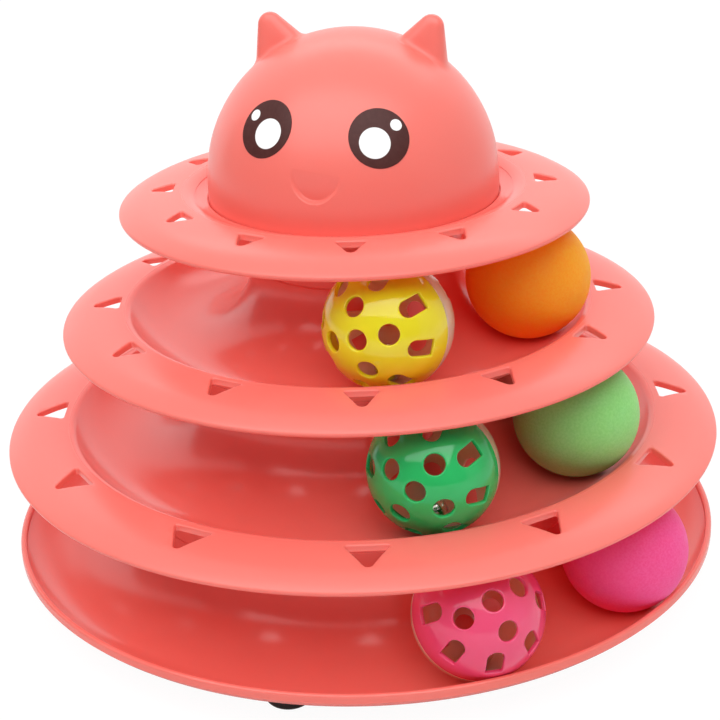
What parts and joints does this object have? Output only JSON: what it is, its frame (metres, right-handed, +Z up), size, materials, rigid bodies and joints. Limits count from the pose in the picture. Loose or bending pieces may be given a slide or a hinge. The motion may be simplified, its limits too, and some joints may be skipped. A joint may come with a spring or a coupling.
{
  "type": "cat ball track toy",
  "caption": "Round stacked track tower for cats, with balls that roll round each tier under an overhanging rim, topped by a cat-head dome.",
  "frame": {"origin": "middle of the tower's axis on the surface that the feet stand on", "axes": "+Z up along the tower's axis, the cat's face looks along -Y, +X to the right seen from the front"},
  "size_m": [0.2392, 0.2392, 0.1863],
  "materials": {
    "coral_shell": "smooth moulded, satin gloss",
    "black_rubber": "smooth",
    "eye_print": "printed film",
    "milky_plastic": "milky, smooth moulded",
    "bell_metal": "plated",
    "yellow_plastic": "smooth moulded",
    "green_plastic": "smooth moulded",
    "pink_plastic": "smooth moulded",
    "orange_plastic": "fine matt",
    "pale_green_plastic": "fine matt",
    "rose_plastic": "fine matt"
  },
  "bodies": {
    "tower": {"base_tray": "coral_shell", "rubber_feet": "black_rubber", "lower_track": "coral_shell", "middle_track": "coral_shell", "top_plate": "coral_shell", "dome_head": "coral_shell", "left_eye_sticker": "eye_print", "right_eye_sticker": "eye_print"},
    "yellow_bell": {"yellow_bell": "bell_metal", "yellow_bell_pellet": "bell_metal"},
    "yellow_ball": {"yellow_lattice_half": "yellow_plastic", "yellow_pale_half": "milky_plastic"},
    "orange_ball": {"orange_ball": "orange_plastic"},
    "green_bell": {"green_bell": "bell_metal", "green_bell_pellet": "bell_metal"},
    "green_ball": {"green_lattice_half": "green_plastic", "green_pale_half": "milky_plastic"},
    "pale_green_ball": {"pale_green_ball": "pale_green_plastic"},
    "pink_bell": {"pink_bell": "bell_metal", "pink_bell_pellet": "bell_metal"},
    "pink_ball": {"pink_lattice_half": "pink_plastic", "pink_pale_half": "milky_plastic"},
    "rose_ball": {"rose_ball": "rose_plastic"}
  },
  "joints": [
    {"name": "yellow_ball_orbit", "type": "hinge", "parent": "tower", "child": "yellow_bell", "pos_m": [0, 0, 0], "axis": [0, 0, 1], "continuous": true},
    {"name": "yellow_ball_roll", "type": "hinge", "parent": "yellow_bell", "child": "yellow_ball", "pos_m": [0.02274, -0.05357, 0.1047], "axis": [0.3907, -0.9205, 0], "continuous": true},
    {"name": "orange_ball_chase", "type": "hinge", "parent": "yellow_bell", "child": "orange_ball", "pos_m": [0, 0, 0], "axis": [0, 0, 1], "range_deg": [-20.5, 257.7]},
    {"name": "green_ball_orbit", "type": "hinge", "parent": "tower", "child": "green_bell", "pos_m": [0, 0, 0], "axis": [0, 0, 1], "continuous": true},
    {"name": "green_ball_roll", "type": "hinge", "parent": "green_bell", "child": "green_ball", "pos_m": [0.0391, -0.06968, 0.066], "axis": [0.4894, -0.8721, 0], "continuous": true},
    {"name": "pale_green_ball_chase", "type": "hinge", "parent": "green_bell", "child": "pale_green_ball", "pos_m": [0, 0, 0], "axis": [0, 0, 1], "range_deg": [-13.6, 287.4]},
    {"name": "pink_ball_orbit", "type": "hinge", "parent": "tower", "child": "pink_bell", "pos_m": [0, 0, 0], "axis": [0, 0, 1], "continuous": true},
    {"name": "pink_ball_roll", "type": "hinge", "parent": "pink_bell", "child": "pink_ball", "pos_m": [0.05519, -0.08531, 0.0273], "axis": [0.5432, -0.8396, 0], "continuous": true},
    {"name": "rose_ball_chase", "type": "hinge", "parent": "pink_bell", "child": "rose_ball", "pos_m": [0, 0, 0], "axis": [0, 0, 1], "range_deg": [-11.4, 302.4]}
  ],
  "couplings": [
    {"joint": "yellow_ball_roll", "follows": "yellow_ball_orbit", "ratio": -2.91},
    {"joint": "green_ball_roll", "follows": "green_ball_orbit", "ratio": -3.995},
    {"joint": "pink_ball_roll", "follows": "pink_ball_orbit", "ratio": -5.08}
  ]
}
